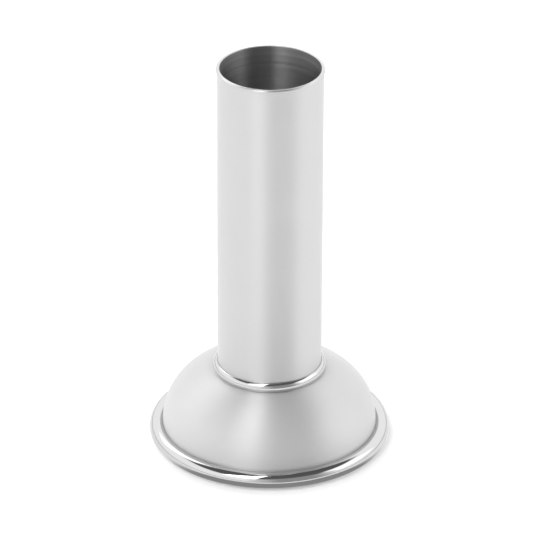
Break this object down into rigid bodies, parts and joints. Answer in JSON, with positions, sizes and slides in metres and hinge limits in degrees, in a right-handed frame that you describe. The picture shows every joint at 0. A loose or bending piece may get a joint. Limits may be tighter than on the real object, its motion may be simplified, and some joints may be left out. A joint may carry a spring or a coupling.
{
  "type": "canning funnel",
  "caption": "Stainless-steel filling funnel: a wide domed bell with a rolled rim, and a long straight spout rising from a ringed neck, standing mouth down.",
  "frame": {"origin": "centre of the mouth's bottom plane, on which the funnel stands", "axes": "+Z along the spout, from the mouth up to the spout's lip; the funnel is round, so +X and +Y are free"},
  "size_m": [0.0885, 0.0884, 0.1484],
  "materials": {
    "spout_satin_steel": "satin, turned round the spout",
    "ring_polished_steel": "mirror polished",
    "bell_satin_steel": "satin, spun",
    "rim_polished_steel": "mirror polished",
    "braze": "dull braze, wiped smooth"
  },
  "bodies": {
    "root": {"spout_tube": "spout_satin_steel", "neck_ring": "ring_polished_steel", "bell": "bell_satin_steel", "rim_ring": "rim_polished_steel", "neck_fillet": "braze", "rim_seam": "braze"}
  },
  "joints": []
}
